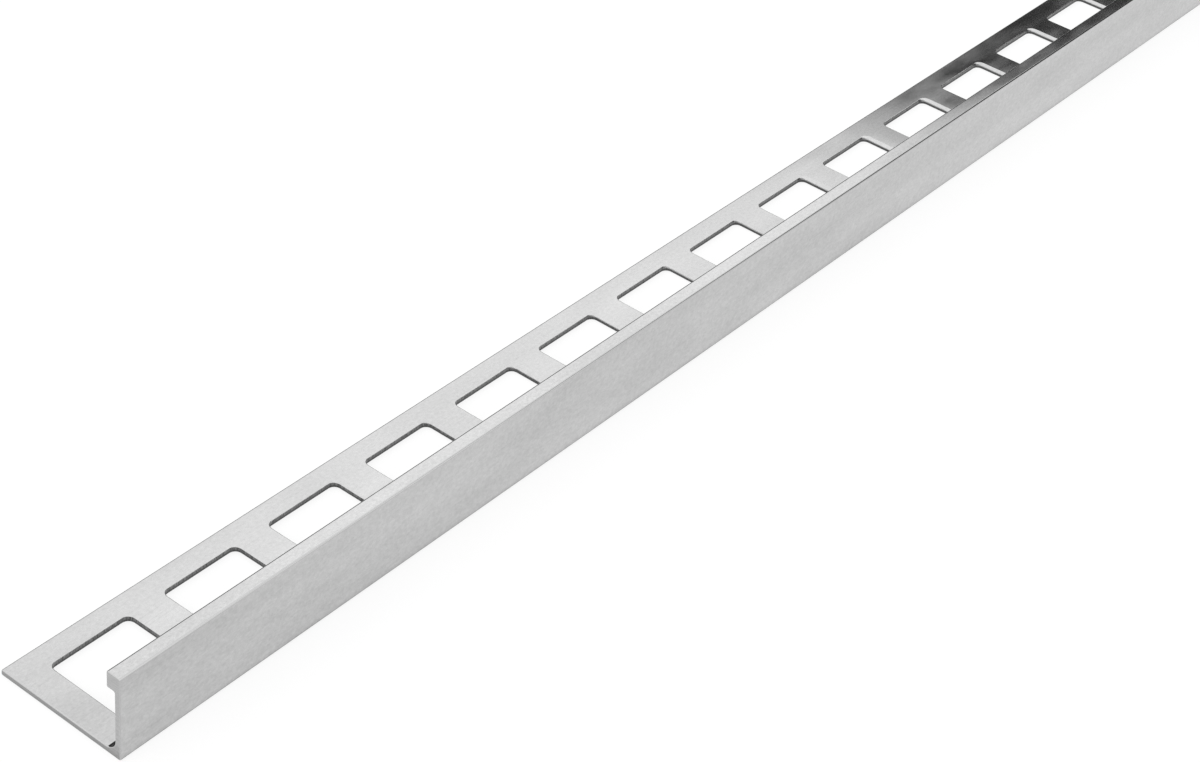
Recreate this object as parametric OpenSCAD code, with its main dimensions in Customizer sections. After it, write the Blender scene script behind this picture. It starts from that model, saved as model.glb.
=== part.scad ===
// Tile edge trim: an extruded aluminium L section with a solid lip along the top of its web
// and a row of square holes punched through its anchoring leg. X runs along the length,
// Y from the show face to the free edge of the leg, Z up. The origin is under the middle.

/* [Section] */
// Height of the show face, which is the tile thickness that the trim suits
profile_h = 15; // [10:0.5:25]
// Width of the anchoring leg, from the show face to its free edge
leg_w = 23.5; // [22.5:0.5:40]
// Thickness of the anchoring leg
leg_t = 1.0; // [0.8:0.1:2]
// Thickness of the web behind the show face
web_t = 1.0; // [0.8:0.1:1.6]
// Width of the lip that shows beside the tile
lip_w = 2.5; // [1.8:0.1:4]
// Depth of the lip, down from the top
lip_h = 2.9; // [1.5:0.1:4]
// Radius of the fillet where the web rises from the leg
corner_fillet_r = 2.0; // [0.5:0.1:2.5]
// Radius of the fillet where the lip springs from the web
lip_fillet_r = 0.3; // [0.1:0.05:0.6]
// Radius that eases the outer edges of the section
edge_r = 0.3; // [0.1:0.05:0.35]

/* [Stock] */
// Length of the piece, as sold
stock_l = 1000; // [250:10:3000]

/* [Punched holes] */
// Length of a hole along the trim
hole_l = 14.8; // [8:0.2:17]
// Width of a hole across the leg
hole_w = 14.8; // [8:0.2:15.6]
// Radius of a hole's corners
hole_corner_r = 1.2; // [0.5:0.1:3]
// Distance from one hole to the next
hole_pitch = 21.2; // [18:0.2:30]
// Width of the strip left between the holes and the free edge
edge_strip_w = 4.0; // [3:0.5:5.5]
// Least length of leg left between an end hole and the cut end
end_margin = 4; // [2:0.5:10]

/* [Hidden] */
$fn = 48;

// The hole row is centred on the length, with as many holes as fit between the end margins
hole_count = floor((stock_l - 2 * end_margin - hole_l) / hole_pitch) + 1;
first_hole_x = -(hole_count - 1) * hole_pitch / 2;
show_face_y = -leg_w / 2;
hole_y = leg_w / 2 - edge_strip_w - hole_w / 2;
// How far the punch runs past each face of the leg
punch_over = 1;

// How deep a fillet is rooted in the metal that it joins
root_depth = min(web_t, leg_t) / 2;

// The sharp metal that easing an edge to radius r takes off, with its corner at the origin
module eased_corner(r) {
    difference() {
        square(r);
        translate([r, r]) circle(r);
    }
}

// The metal that fills an inside corner at the origin, opening to the first quadrant, to radius r
module inside_fillet(r) {
    difference() {
        translate([-root_depth, -root_depth]) square(r + root_depth);
        translate([r, r]) circle(r);
    }
}

// The extruded section, drawn with Y to the right and Z up, show face on the left
module section() {
    lip_bottom = profile_h - lip_h;
    // Each outer corner, with the turn that points an eased corner into the metal
    outer_corners = [
        [[0, 0], 0],
        [[leg_w, 0], 90],
        [[leg_w, leg_t], 180],
        [[lip_w, lip_bottom], 90],
        [[lip_w, profile_h], 180],
        [[0, profile_h], 270],
    ];
    difference() {
        union() {
            square([leg_w, leg_t]);
            square([web_t, profile_h]);
            translate([0, lip_bottom]) square([lip_w, lip_h]);
            translate([web_t, leg_t]) inside_fillet(corner_fillet_r);
            translate([web_t, lip_bottom]) rotate(270) inside_fillet(lip_fillet_r);
        }
        for (corner = outer_corners)
            translate(corner[0]) rotate(corner[1]) eased_corner(edge_r);
    }
}

// Outline of one punched hole: a rectangle with rounded corners, about its own centre
module hole_outline() {
    flat_l = hole_l - 2 * hole_corner_r;
    flat_w = hole_w - 2 * hole_corner_r;
    square([flat_l, hole_w], center = true);
    square([hole_l, flat_w], center = true);
    for (x = [-flat_l / 2, flat_l / 2], y = [-flat_w / 2, flat_w / 2])
        translate([x, y]) circle(hole_corner_r);
}

// The bar as it leaves the die, laid along X with the show face at the front
module extruded_bar() {
    translate([-stock_l / 2, show_face_y, 0])
        rotate([90, 0, 90]) linear_extrude(stock_l) section();
}

// The row of punched holes along the anchoring leg
module hole_row() {
    for (i = [0 : hole_count - 1])
        translate([first_hole_x + i * hole_pitch, hole_y, -punch_over])
            linear_extrude(leg_t + 2 * punch_over) hole_outline();
}

module edge_trim() {
    color("#c9cacb") difference() {
        extruded_bar();
        hole_row();
    }
}

edge_trim();
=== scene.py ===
"""A tile edge trim of mill-finish aluminium, lying on a pale studio floor."""

import math

import bmesh
import bpy
from mathutils import Matrix, Vector


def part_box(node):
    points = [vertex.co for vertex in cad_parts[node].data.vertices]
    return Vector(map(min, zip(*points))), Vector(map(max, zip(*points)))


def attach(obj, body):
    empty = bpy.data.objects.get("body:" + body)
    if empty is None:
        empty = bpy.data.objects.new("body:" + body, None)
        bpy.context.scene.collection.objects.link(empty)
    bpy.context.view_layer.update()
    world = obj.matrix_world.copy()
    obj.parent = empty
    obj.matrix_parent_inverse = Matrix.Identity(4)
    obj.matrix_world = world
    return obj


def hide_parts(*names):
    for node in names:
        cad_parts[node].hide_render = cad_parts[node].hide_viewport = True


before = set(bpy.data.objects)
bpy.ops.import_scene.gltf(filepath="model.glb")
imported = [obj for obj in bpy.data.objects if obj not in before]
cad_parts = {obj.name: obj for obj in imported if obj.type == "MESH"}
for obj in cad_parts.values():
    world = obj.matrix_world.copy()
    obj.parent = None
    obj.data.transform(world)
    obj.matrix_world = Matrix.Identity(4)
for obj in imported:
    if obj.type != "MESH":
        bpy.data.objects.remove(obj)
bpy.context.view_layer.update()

# Extruded bar
# The trim is one aluminium extrusion: a web that carries the show face, a solid square lip along
# its top, and a thin anchoring leg at its foot. The die leaves every edge of the section eased.
MM = 0.001
trim_low, trim_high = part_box("edge_trim")
TRIM_LENGTH = trim_high.x - trim_low.x
LEG_WIDTH = trim_high.y - trim_low.y
SHOW_FACE_HEIGHT = trim_high.z - trim_low.z
LEG_THICKNESS = 1.0 * MM
WEB_THICKNESS = 1.0 * MM
LIP_WIDTH = 2.5 * MM
LIP_DEPTH = 2.9 * MM
# How far the top of the lip falls from its inner edge to the show face
LIP_LEAN = 0.055 * MM
CORNER_FILLET = 2.0 * MM
LIP_FILLET = 0.3 * MM
EASED_EDGE = 0.3 * MM
CUT_EASE = 0.15 * MM
FILLET_STEPS = 12
EASED_STEPS = 6
# Steps in a metre: vertices that fall on the same step are one vertex
WELD_STEPS = 1e7

bar_start = trim_low.x + CUT_EASE
bar_end = trim_high.x - CUT_EASE

# The finish of a face, as the number of its material
MILL, SHOW, LIP, SHADED_ROUND, EASED, SHADED_EDGE, SHEARED, BROKEN, SAWN = range(9)
vertex_at = {}
places = []
faces = []
face_finishes = []


def vertex(x, y, z):
    """The number of the vertex at a place along the trim, in from its show face and up from its foot."""
    place = Vector((x, trim_low.y + y, trim_low.z + z))
    key = tuple(round(value * WELD_STEPS) for value in place)
    if key not in vertex_at:
        vertex_at[key] = len(places)
        places.append(place)
    return vertex_at[key]


def skin(first, second, finish, closed=False):
    """Faces between two rows of vertices of the same length."""
    count = len(first) if closed else len(first) - 1
    for i in range(count):
        j = (i + 1) % len(first)
        faces.append((first[i], first[j], second[j], second[i]))
        face_finishes.append(finish)


def between(start, end, steps):
    """Evenly spaced values from start to end, both included."""
    return [start + (end - start) * i / steps for i in range(steps + 1)]


def arc(centre, radius, start, end, steps):
    """Points on an arc, with its first and last angle in degrees."""
    angles = [math.radians(angle) for angle in between(start, end, steps)]
    return [(centre[0] + radius * math.cos(a), centre[1] + radius * math.sin(a)) for a in angles]


lip_bottom = SHOW_FACE_HEIGHT - LIP_DEPTH
lip_top_in = SHOW_FACE_HEIGHT - EASED_EDGE
lip_side_in = LIP_WIDTH - EASED_EDGE
edge_in = LEG_WIDTH - EASED_EDGE
fillet_centre = (WEB_THICKNESS + CORNER_FILLET, LEG_THICKNESS + CORNER_FILLET)
lip_fillet_centre = (WEB_THICKNESS + LIP_FILLET, lip_bottom - LIP_FILLET)

# From the top of the leg up the web, round the lip and down the show face to the underside: the
# points and the finish of each round, and the finish of the flat face after it
web_and_lip = [
    (arc(fillet_centre, CORNER_FILLET, 270, 180, FILLET_STEPS), MILL, MILL),
    (arc(lip_fillet_centre, LIP_FILLET, 180, 90, EASED_STEPS), EASED, MILL),
    (arc((lip_side_in, lip_bottom + EASED_EDGE), EASED_EDGE, -90, 0, EASED_STEPS), EASED, LIP),
    (arc((lip_side_in, lip_top_in), EASED_EDGE, 0, 90, EASED_STEPS), SHADED_EDGE, LIP),
    (arc((EASED_EDGE, lip_top_in - LIP_LEAN), EASED_EDGE, 90, 180, EASED_STEPS), SHADED_ROUND, SHOW),
    (arc((EASED_EDGE, EASED_EDGE), EASED_EDGE, 180, 270, EASED_STEPS), SHADED_EDGE, MILL),
]
# From the underside round the free edge of the leg to its top
free_edge = [
    (arc((edge_in, EASED_EDGE), EASED_EDGE, -90, 0, EASED_STEPS), EASED, MILL),
    (arc((edge_in, LEG_THICKNESS - EASED_EDGE), EASED_EDGE, 0, 90, EASED_STEPS), EASED, MILL),
]
leg_top_sides = (WEB_THICKNESS + CORNER_FILLET, edge_in)
leg_underside_sides = (EASED_EDGE, edge_in)

# Punched holes
# A press punches square holes with round corners through the leg, from the top. The sloped punch
# drags the far edge of each hole down into a roll, deeper after the first few, and leaves the near
# edge crisp. It shears the upper wall, and the rest of the wall breaks away a little wider.
HOLE_SIZE = 14.8 * MM
HOLE_CORNER = 1.2 * MM
HOLE_PITCH = 21.2 * MM
EDGE_STRIP = 4.0 * MM
END_MARGIN = 4.0 * MM
ROLL_WIDTH = 0.15 * MM
ROLL_DEPTH = 0.1 * MM
FAR_ROLL_WIDTH = 0.65 * MM
FIRST_FAR_ROLL_DEPTH = 0.1 * MM
FAR_ROLL_DEPTH = 0.5 * MM
# How many holes it takes for the far roll to reach its full depth
SETTLING_HOLES = 6
BREAK_HEIGHT = 0.4 * MM
BREAK_FLARE = 0.03 * MM
CORNER_STEPS = 6
SIDE_STEPS = 3
ROLL_STEPS = 8

hole_count = math.floor((TRIM_LENGTH - 2 * END_MARGIN - HOLE_SIZE) / HOLE_PITCH) + 1
hole_y = LEG_WIDTH - EDGE_STRIP - HOLE_SIZE / 2
hole_centres = [(i - (hole_count - 1) / 2) * HOLE_PITCH for i in range(hole_count)]
half_flat = HOLE_SIZE / 2 - HOLE_CORNER
half_corner_steps = CORNER_STEPS // 2


def side_values(low, centre, high):
    """Where the vertices of a cell's side lie, from one cell corner past the hole to the other."""
    return (
        between(low, centre - half_flat, half_corner_steps)
        + between(centre - half_flat, centre + half_flat, SIDE_STEPS)[1:-1]
        + between(centre + half_flat, high, half_corner_steps)
    )


def hole_outline():
    """Points round a hole, about its centre, each with the way that points out of the hole there."""
    outline = []
    for corner in range(4):
        turn = math.radians(90 * corner)
        side_x, side_y = math.cos(turn), math.sin(turn)
        corner_x, corner_y = half_flat * (side_x + side_y), half_flat * (side_y - side_x)
        for angle in between(turn - math.pi / 2, turn, CORNER_STEPS):
            out_x, out_y = math.cos(angle), math.sin(angle)
            outline.append((corner_x + HOLE_CORNER * out_x, corner_y + HOLE_CORNER * out_y, out_x, out_y))
        last_x, last_y = outline[-1][:2]
        for along_side in between(0, 2 * half_flat, SIDE_STEPS)[1:-1]:
            outline.append((last_x - along_side * side_y, last_y + along_side * side_x, side_x, side_y))
    return outline


hole_points = hole_outline()


def roll_ring(centre_x, far_depth, spread, sink):
    """One line of vertices round the roll, at shares of its width and depth."""
    ring = []
    for x, y, out_x, out_y in hole_points:
        far_share = max(out_x, 0)
        grown = (ROLL_WIDTH + (FAR_ROLL_WIDTH - ROLL_WIDTH) * far_share) * spread
        drop = (ROLL_DEPTH + (far_depth - ROLL_DEPTH) * far_share) * sink
        ring.append(vertex(centre_x + x + grown * out_x, hole_y + y + grown * out_y, LEG_THICKNESS - drop))
    return ring


def wall_ring(centre_x, flare, z):
    """One level line of vertices round the wall of a hole."""
    return [
        vertex(centre_x + x + flare * out_x, hole_y + y + flare * out_y, z)
        for x, y, out_x, out_y in hole_points
    ]


def cell_ring(along, across, z):
    """The outline of a hole's cell, with a vertex for each one of the hole's ring."""
    low_side = [(x, across[0]) for x in along]
    far_side = [(along[-1], y) for y in across]
    high_side = [(x, across[-1]) for x in reversed(along)]
    near_side = [(along[0], y) for y in reversed(across)]
    loop = low_side[:-1] + far_side[:-1] + high_side[:-1] + near_side[:-1]
    first = half_corner_steps + SIDE_STEPS
    return [vertex(x, y, z) for x, y in loop[first:] + loop[:first]]


cell_edges = [(a + b) / 2 for a, b in zip(hole_centres, hole_centres[1:])]
cell_lows = [bar_start] + cell_edges
cell_highs = cell_edges + [bar_end]
top_across = side_values(leg_top_sides[0], hole_y, leg_top_sides[1])
underside_across = side_values(leg_underside_sides[0], hole_y, leg_underside_sides[1])
stations = [bar_start]

for number, (centre_x, low, high) in enumerate(zip(hole_centres, cell_lows, cell_highs)):
    cell_along = side_values(low, centre_x, high)
    stations += cell_along[1:]
    settled = min(number / SETTLING_HOLES, 1)
    far_depth = FIRST_FAR_ROLL_DEPTH + (FAR_ROLL_DEPTH - FIRST_FAR_ROLL_DEPTH) * settled
    rings = [
        roll_ring(centre_x, far_depth, 1 - math.sin(angle), 1 - math.cos(angle))
        for angle in between(0, math.pi / 2, ROLL_STEPS)
    ]
    sheared = wall_ring(centre_x, 0, BREAK_HEIGHT)
    broken = wall_ring(centre_x, BREAK_FLARE, 0)
    skin(cell_ring(cell_along, top_across, LEG_THICKNESS), rings[0], MILL, closed=True)
    for ring, next_ring in zip(rings, rings[1:]):
        skin(ring, next_ring, MILL, closed=True)
    skin(rings[-1], sheared, SHEARED, closed=True)
    skin(sheared, broken, BROKEN, closed=True)
    skin(broken, cell_ring(cell_along, underside_across, 0), MILL, closed=True)


def skin_along_bar(outline, finish):
    """The bar's skin along one stretch of its outline, with the same stations as the holes."""
    rows = [[vertex(x, y, z) for y, z in outline] for x in stations]
    for row, next_row in zip(rows, rows[1:]):
        skin(row, next_row, finish)


for rounds in (web_and_lip, free_edge):
    for outline, finish, _ in rounds:
        skin_along_bar(outline, finish)
    for (outline, _, flat_finish), (next_outline, _, _) in zip(rounds, rounds[1:]):
        skin_along_bar([outline[-1], next_outline[0]], flat_finish)

# Sawn ends
# Each end is cut square with a fine saw and the sharp edge is taken off, so the cut face is duller
# than the rest and has a narrow rounded rim all round, painted darker as shade.
CUT_EASE_STEPS = 3

end_outline = (
    [point for outline, _, _ in web_and_lip for point in outline]
    + [(y, 0) for y in underside_across[1:-1]]
    + [point for outline, _, _ in free_edge for point in outline]
    + [(y, LEG_THICKNESS) for y in reversed(top_across[1:-1])]
)


def inward(outline, distance):
    """The outline moved into the metal by a distance, with the metal on its left."""
    moved = []
    for i, (y, z) in enumerate(outline):
        here = Vector((y, z))
        before = Vector(outline[i - 1])
        after = Vector(outline[(i + 1) % len(outline)])
        way_on = (here - before).normalized() + (after - here).normalized()
        way_on.normalize()
        moved.append((y - way_on.y * distance, z + way_on.x * distance))
    return moved


for end_x, out in ((bar_start, -1), (bar_end, 1)):
    rim = [vertex(end_x, y, z) for y, z in end_outline]
    for angle in between(0, math.pi / 2, CUT_EASE_STEPS)[1:]:
        inset = inward(end_outline, CUT_EASE * (1 - math.cos(angle)))
        next_x = end_x + out * CUT_EASE * math.sin(angle)
        next_rim = [vertex(next_x, y, z) for y, z in inset]
        skin(rim, next_rim, SHADED_ROUND, closed=True)
        rim = next_rim
    faces.append(tuple(rim))
    face_finishes.append(SAWN)

# Finish
# The bar is left as it comes from the die: bright grey, with a fine grain, faint clouds and stray
# scratches along it. It is darker near its ends. Its rounds are painted darker as shade, darkest at
# the foot and inside the lip, and the dull sheared and broken walls of the holes are painted dark as
# shade too. The show face and the cut ends are painted darker towards their foot as shade, and the
# lip a little lighter as painted light.

# The span that nearly all of a noise lies in
NOISE_LOW = 0.3
NOISE_HIGH = 0.7


def metal(name, grey, roughness):
    """A bare metal material of one grey, and its shader."""
    material = bpy.data.materials.new(name)
    material.use_nodes = True
    shader = material.node_tree.nodes["Principled BSDF"]
    shader.inputs["Metallic"].default_value = 1.0
    shader.inputs["Base Color"].default_value = (grey, grey, grey, 1)
    shader.inputs["Roughness"].default_value = roughness
    return material, shader


def marks(material, size, detail=2.0, fineness=0.5):
    """A noise with marks of the given size along, across and up, and finer marks within them."""
    nodes, links = material.node_tree.nodes, material.node_tree.links
    coordinates = nodes.new("ShaderNodeTexCoord")
    mapping = nodes.new("ShaderNodeMapping")
    mapping.inputs["Scale"].default_value = [1 / value for value in size]
    noise = nodes.new("ShaderNodeTexNoise")
    noise.inputs["Scale"].default_value = 1.0
    noise.inputs["Detail"].default_value = detail
    noise.inputs["Roughness"].default_value = fineness
    links.new(coordinates.outputs["Object"], mapping.inputs["Vector"])
    links.new(mapping.outputs["Vector"], noise.inputs["Vector"])
    return noise.outputs["Fac"]


def place_on_bar(material, way):
    """Where a point lies along the bar (X), across it (Y) or up it (Z)."""
    nodes, links = material.node_tree.nodes, material.node_tree.links
    coordinates = nodes.new("ShaderNodeTexCoord")
    parts = nodes.new("ShaderNodeSeparateXYZ")
    links.new(coordinates.outputs["Object"], parts.inputs["Vector"])
    return parts.outputs[way]


def ranged(material, value, low, high, to_low, to_high):
    """A value moved from one range to another."""
    node = material.node_tree.nodes.new("ShaderNodeMapRange")
    node.inputs["From Min"].default_value = low
    node.inputs["From Max"].default_value = high
    node.inputs["To Min"].default_value = to_low
    node.inputs["To Max"].default_value = to_high
    material.node_tree.links.new(value, node.inputs["Value"])
    return node.outputs["Result"]


def swing(material, noise, low, high):
    """A value that a noise moves between a low and a high one."""
    return ranged(material, noise, NOISE_LOW, NOISE_HIGH, low, high)


def varied(material, noise, middle, share):
    """A value that a noise moves up and down by a share of its middle."""
    return swing(material, noise, middle * (1 - share), middle * (1 + share))


def combined(material, operation, value, other):
    """A value put together with another value, or with a plain number, by one sum."""
    node = material.node_tree.nodes.new("ShaderNodeMath")
    node.operation = operation
    material.node_tree.links.new(value, node.inputs[0])
    if isinstance(other, float):
        node.inputs[1].default_value = other
    else:
        material.node_tree.links.new(other, node.inputs[1])
    return node.outputs["Value"]


def relief(material, shader, height, depth):
    """Bump from a height value, as deep as the given depth."""
    node = material.node_tree.nodes.new("ShaderNodeBump")
    node.inputs["Strength"].default_value = 1.0
    node.inputs["Distance"].default_value = depth
    material.node_tree.links.new(height, node.inputs["Height"])
    material.node_tree.links.new(node.outputs["Normal"], shader.inputs["Normal"])


MILL_GREY = 0.505
SHOW_GREY = 0.505
# The lip's copy of the finish is a little lighter: painted light, the brighter light on the lip.
LIP_LIT_GREY = 0.522
MILL_ROUGHNESS = 0.11
ROUGHNESS_SHARE = 0.4
GRAIN_SIZE = (0.7 * MM, 0.5 * MM, 0.5 * MM)
GRAIN_DETAIL = 4.0
GRAIN_FINENESS = 0.75
MILL_GRAIN_CHANGE = 0.045
SHOW_GRAIN_CHANGE = 0.058
CLOUD_SIZE = (14 * MM, 5 * MM, 5 * MM)
CLOUD_DETAIL = 3.0
CLOUD_CHANGE = 0.02
BROAD_CLOUD_SIZE = (60 * MM, 12 * MM, 8 * MM)
BROAD_CLOUD_DETAIL = 1.0
BROAD_CLOUD_CHANGE = 0.03
SCRATCH_SIZE = (30 * MM, 0.3 * MM, 0.3 * MM)
# The noise at which a scratch starts to show, and at which it shows in full
SCRATCH_START = 0.63
SCRATCH_FULL = 0.71
SCRATCH_CHANGE = -0.03
# Over the last 20 mm at each end the grey is darker.
DARKER_END = 20 * MM
MILL_END_CHANGE = -0.05
SHOW_END_CHANGE = -0.02
# Over its lowest 1.1 mm the show face is painted darker: painted shade, the shade at the foot mirrored in
# it.
SHOW_FOOT_SHADE_HEIGHT = 1.1 * MM
SHOW_FOOT_SHADE = -0.1
DIE_LINE_SIZE = (60 * MM, 0.2 * MM, 0.2 * MM)
DIE_LINE_DEPTH = 0.0004 * MM


def mill_finish(name, grey, grain_change, end_change, foot_shade):
    """Extruded aluminium: a fine grain, soft clouds, a few long scratches, darker ends and a foot darkened
    as painted shade.
    """
    material, shader = metal(name, grey, MILL_ROUGHNESS)
    links = material.node_tree.links
    grain = marks(material, GRAIN_SIZE, GRAIN_DETAIL, GRAIN_FINENESS)
    clouds = marks(material, CLOUD_SIZE, CLOUD_DETAIL)
    broad_clouds = marks(material, BROAD_CLOUD_SIZE, BROAD_CLOUD_DETAIL)
    scratches = marks(material, SCRATCH_SIZE)
    along = place_on_bar(material, "X")
    height = place_on_bar(material, "Z")
    changes = [
        swing(material, grain, -grain_change, grain_change),
        swing(material, clouds, -CLOUD_CHANGE, CLOUD_CHANGE),
        swing(material, broad_clouds, -BROAD_CLOUD_CHANGE, BROAD_CLOUD_CHANGE),
        ranged(material, scratches, SCRATCH_START, SCRATCH_FULL, 0.0, SCRATCH_CHANGE),
        ranged(material, along, trim_low.x, trim_low.x + DARKER_END, end_change, 0.0),
        ranged(material, along, trim_high.x - DARKER_END, trim_high.x, 0.0, end_change),
        ranged(material, height, trim_low.z, trim_low.z + SHOW_FOOT_SHADE_HEIGHT, foot_shade, 0.0),
    ]
    tone = grey
    for change in changes:
        tone = combined(material, "ADD", change, tone)
    links.new(tone, shader.inputs["Base Color"])
    links.new(varied(material, clouds, MILL_ROUGHNESS, ROUGHNESS_SHARE), shader.inputs["Roughness"])
    relief(material, shader, marks(material, DIE_LINE_SIZE), DIE_LINE_DEPTH)
    return material


# The rounds are painted darker than the flats: painted shade, which keeps their edges from shining and
# draws dark lines along them.
SHADED_ROUND_GREY = 0.46
EASED_SHADE_GREY = 0.4
# The rounds inside the lip and along the foot are painted dark: painted shade, standing for the dark the
# lip's inner edge mirrors and the shade where the foot meets the floor.
SHADED_EDGE_GREY = 0.12
EASED_ROUGHNESS = 0.13
DRAWN_SIZE = (25 * MM, 0.1 * MM, 0.1 * MM)
DRAWN_SHARE = 0.08


def eased_finish(name, grey):
    """A round left by the die: drawn along the bar, a little duller than the flats, and painted darker as
    shade.
    """
    material, shader = metal(name, grey, EASED_ROUGHNESS)
    tone = varied(material, marks(material, DRAWN_SIZE), grey, DRAWN_SHARE)
    material.node_tree.links.new(tone, shader.inputs["Base Color"])
    return material


# The walls of the holes are painted dark: painted shade, so that they don't mirror the bright floor.
SHEARED_SHADE_GREY = 0.13
SHEARED_ROUGHNESS = 0.3
SCORE_SIZE = (0.25 * MM, 0.25 * MM, 2 * MM)
SCORE_SHARE = 0.6
SCORE_DEPTH = 0.01 * MM


def sheared_finish():
    """The upper wall of a hole: rubbed by the punch, with upright score marks, and painted dark as the
    shade in the hole.
    """
    material, shader = metal("sheared_shaded_aluminium", SHEARED_SHADE_GREY, SHEARED_ROUGHNESS)
    score = marks(material, SCORE_SIZE)
    tone = varied(material, score, SHEARED_SHADE_GREY, SCORE_SHARE)
    material.node_tree.links.new(tone, shader.inputs["Base Color"])
    relief(material, shader, score, SCORE_DEPTH)
    return material


# The torn lower wall is painted darker still: painted shade.
BROKEN_SHADE_GREY = 0.11
BROKEN_ROUGHNESS = 0.6
TEAR_SIZE = (0.2 * MM, 0.2 * MM, 0.2 * MM)
TEAR_SHARE = 0.4
TEAR_DEPTH = 0.05 * MM


def broken_finish():
    """The lower wall of a hole: dull and coarse where the metal tore away, and painted dark as the shade
    in the hole.
    """
    material, shader = metal("broken_shaded_aluminium", BROKEN_SHADE_GREY, BROKEN_ROUGHNESS)
    tears = marks(material, TEAR_SIZE)
    tone = varied(material, tears, BROKEN_SHADE_GREY, TEAR_SHARE)
    material.node_tree.links.new(tone, shader.inputs["Base Color"])
    relief(material, shader, tears, TEAR_DEPTH)
    return material


SAWN_GREY = 0.43
SAWN_ROUGHNESS = 0.4
SAW_MARK_SIZE = (1 * MM, 3 * MM, 0.15 * MM)
SAW_MARK_SHARE = 0.1
SAW_MARK_DEPTH = 0.01 * MM
SAWN_FOOT_SHADE_HEIGHT = 3.0 * MM
SAWN_FOOT_SHADE_SHARE = 0.62


def sawn_finish():
    """The cut face: close saw marks across the section, and painted darker towards its foot as shade."""
    material, shader = metal("sawn_aluminium", SAWN_GREY, SAWN_ROUGHNESS)
    saw_marks = marks(material, SAW_MARK_SIZE)
    grey = varied(material, saw_marks, SAWN_GREY, SAW_MARK_SHARE)
    height = place_on_bar(material, "Z")
    foot_top = trim_low.z + SAWN_FOOT_SHADE_HEIGHT
    # Painted shade: the cut face darkens towards the floor.
    foot = ranged(material, height, trim_low.z, foot_top, SAWN_FOOT_SHADE_SHARE, 1.0)
    tone = combined(material, "MULTIPLY", grey, foot)
    material.node_tree.links.new(tone, shader.inputs["Base Color"])
    relief(material, shader, saw_marks, SAW_MARK_DEPTH)
    return material


# Finished trim
# The bar's skin, its holes and its cut ends make one closed shell, the whole trim. Each face takes
# its own finish. The flat faces are shaded flat, and only the rounds are shaded as curves.
SHARP_ANGLE = math.radians(40)
FLAT_FACE_WEIGHT = 100

trim_mesh = bpy.data.meshes.new("edge_trim_bar")
trim_mesh.from_pydata(places, [], faces)
finishes = [
    mill_finish("mill_aluminium", MILL_GREY, MILL_GRAIN_CHANGE, MILL_END_CHANGE, 0.0),
    mill_finish("show_face_aluminium", SHOW_GREY, SHOW_GRAIN_CHANGE, SHOW_END_CHANGE, SHOW_FOOT_SHADE),
    mill_finish("lip_aluminium", LIP_LIT_GREY, SHOW_GRAIN_CHANGE, SHOW_END_CHANGE, 0.0),
    eased_finish("shaded_round_aluminium", SHADED_ROUND_GREY),
    eased_finish("eased_aluminium", EASED_SHADE_GREY),
    eased_finish("shaded_edge_aluminium", SHADED_EDGE_GREY),
    sheared_finish(),
    broken_finish(),
    sawn_finish(),
]
for finish in finishes:
    trim_mesh.materials.append(finish)
trim_mesh.polygons.foreach_set("material_index", face_finishes)
shell = bmesh.new()
shell.from_mesh(trim_mesh)
bmesh.ops.recalc_face_normals(shell, faces=shell.faces)
shell.to_mesh(trim_mesh)
shell.free()
trim_mesh.polygons.foreach_set("use_smooth", [True] * len(trim_mesh.polygons))
trim_mesh.set_sharp_from_angle(angle=SHARP_ANGLE)

trim = bpy.data.objects.new("edge_trim_bar", trim_mesh)
bpy.context.scene.collection.objects.link(trim)
flat_normals = trim.modifiers.new("flat faces stay flat", "WEIGHTED_NORMAL")
flat_normals.mode = "FACE_AREA"
flat_normals.weight = FLAT_FACE_WEIGHT
flat_normals.keep_sharp = True
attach(trim, "root")
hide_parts("edge_trim")

# Stage
# A wide pale floor under the trim: a matte light table. It shines evenly by itself, so that the trim
# hardly throws a shade on it.
FLOOR_HALF = 8.0
FLOOR_DROP = 0.05 * MM
FLOOR_GREY = 0.2
FLOOR_SHINE = 0.79


def floor_finish():
    """Plain matte grey that also shines white by itself."""
    material = bpy.data.materials.new("pale_floor")
    material.use_nodes = True
    shader = material.node_tree.nodes["Principled BSDF"]
    shader.inputs["Base Color"].default_value = (FLOOR_GREY, FLOOR_GREY, FLOOR_GREY, 1)
    shader.inputs["Roughness"].default_value = 1.0
    shader.inputs["Specular IOR Level"].default_value = 0.0
    shader.inputs["Emission Color"].default_value = (1, 1, 1, 1)
    shader.inputs["Emission Strength"].default_value = FLOOR_SHINE
    return material


floor_mesh = bpy.data.meshes.new("floor")
floor_corners = [(-1, -1), (1, -1), (1, 1), (-1, 1)]
floor_places = [(x * FLOOR_HALF, y * FLOOR_HALF, -FLOOR_DROP) for x, y in floor_corners]
floor_mesh.from_pydata(floor_places, [], [(0, 1, 2, 3)])
floor_mesh.materials.append(floor_finish())
floor = bpy.data.objects.new("floor", floor_mesh)
bpy.context.scene.collection.objects.link(floor)

# Light
# A broad even softbox all round and overhead. Low down beyond the far end it has a dark gap, which
# the trim's flat faces and edges mirror there. Seen directly it is all pale.
SKY_LIGHT = 1.4
GAP_DARK = 0.05
GAP_SLANT = 0.25
GAP_TOP_LOW = 0.578
GAP_TOP_HIGH = 0.613
GAP_HEADING = math.radians(35)
GAP_SIDE_LOW = 0.1
GAP_SIDE_HIGH = 0.38
SEEN_LIGHT = 1.0

world = bpy.data.worlds.new("softbox")
bpy.context.scene.world = world
world.use_nodes = True
sky_nodes, sky_links = world.node_tree.nodes, world.node_tree.links
direction = sky_nodes.new("ShaderNodeTexCoord").outputs["Generated"]


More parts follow.
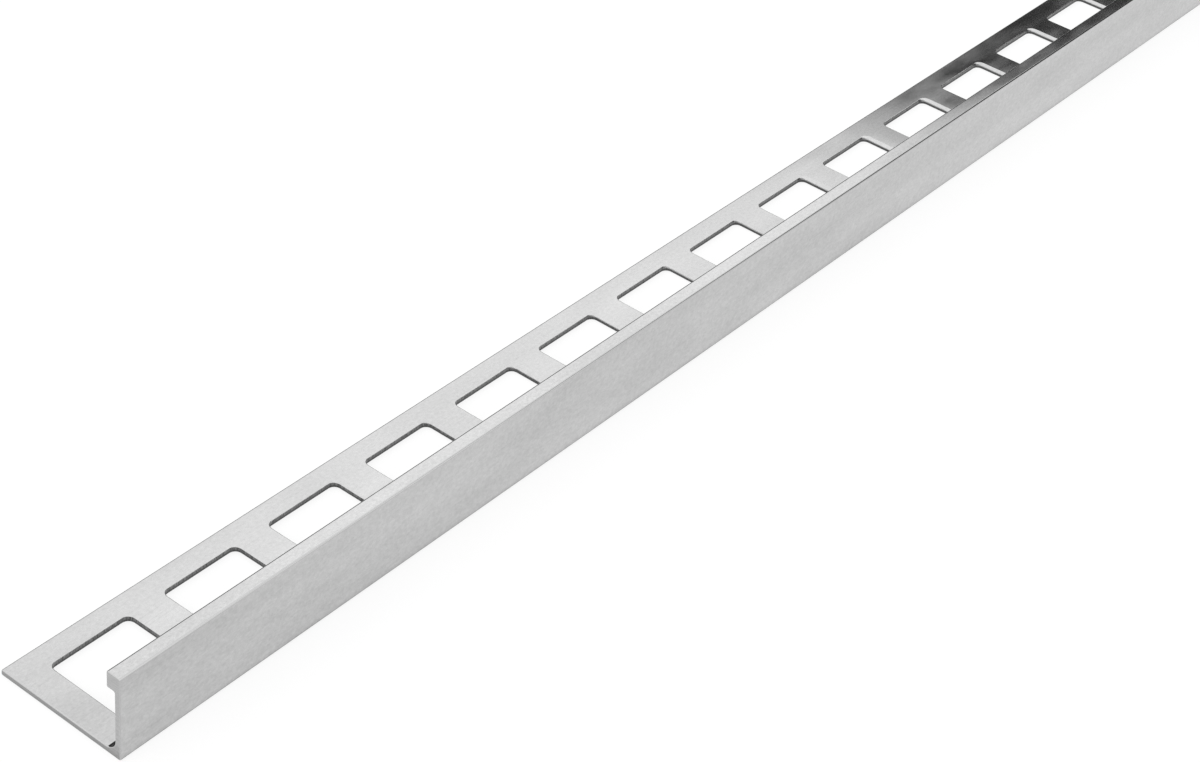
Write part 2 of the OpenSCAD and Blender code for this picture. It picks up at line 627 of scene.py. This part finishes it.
def sky_step(value, low, high, to_low, to_high):
    """A soft step in the sky between two levels."""
    node = sky_nodes.new("ShaderNodeMapRange")
    node.interpolation_type = "SMOOTHSTEP"
    node.inputs["From Min"].default_value = low
    node.inputs["From Max"].default_value = high
    for end, level in (("To Min", to_low), ("To Max", to_high)):
        if isinstance(level, float):
            node.inputs[end].default_value = level
        else:
            sky_links.new(level, node.inputs[end])
    sky_links.new(value, node.inputs["Value"])
    return node.outputs["Result"]


def sky_reach(way):
    """How far a direction of the sky reaches along the given way."""
    node = sky_nodes.new("ShaderNodeVectorMath")
    node.operation = "DOT_PRODUCT"
    node.inputs[1].default_value = way
    sky_links.new(direction, node.inputs[0])
    return node.outputs["Value"]


towards_gap = sky_reach((math.cos(GAP_HEADING), math.sin(GAP_HEADING), 0))
low_sky = sky_step(towards_gap, GAP_SIDE_LOW, GAP_SIDE_HIGH, SKY_LIGHT, GAP_DARK)
above_gap = sky_reach((0, GAP_SLANT, 1))
sky = sky_step(above_gap, GAP_TOP_LOW, GAP_TOP_HIGH, low_sky, SKY_LIGHT)
camera_ray = sky_nodes.new("ShaderNodeLightPath").outputs["Is Camera Ray"]
shown = sky_step(camera_ray, 0.0, 1.0, sky, SEEN_LIGHT)
sky_links.new(shown, sky_nodes["Background"].inputs["Strength"])
sky_nodes["Background"].inputs["Color"].default_value = (1, 1, 1, 1)
bpy.context.scene.view_settings.view_transform = "Standard"

# Camera
# Above and to the left of the near cut end, looking along the trim. Its place is in metres, its
# turns are in degrees, and its lens and sensor are in millimetres.
CAMERA_PLACE = (-0.66124, -0.18691, 0.24576)
CAMERA_HEADING = 33.657
CAMERA_LOOK_DOWN = 36.735
CAMERA_ROLL = 7.659
CAMERA_LENS = 75.01
CAMERA_SENSOR = 36.0
CAMERA_NEAREST = 0.01

camera_data = bpy.data.cameras.new("camera")
camera_data.lens = CAMERA_LENS
camera_data.sensor_width = CAMERA_SENSOR
camera_data.clip_start = CAMERA_NEAREST
camera = bpy.data.objects.new("camera", camera_data)
turn = Matrix.Rotation(math.radians(CAMERA_HEADING - 90), 4, "Z")
tilt = Matrix.Rotation(math.radians(90 - CAMERA_LOOK_DOWN), 4, "X")
roll = Matrix.Rotation(math.radians(CAMERA_ROLL), 4, "Z")
camera.matrix_world = Matrix.Translation(CAMERA_PLACE) @ turn @ tilt @ roll
bpy.context.scene.collection.objects.link(camera)
bpy.context.scene.camera = camera
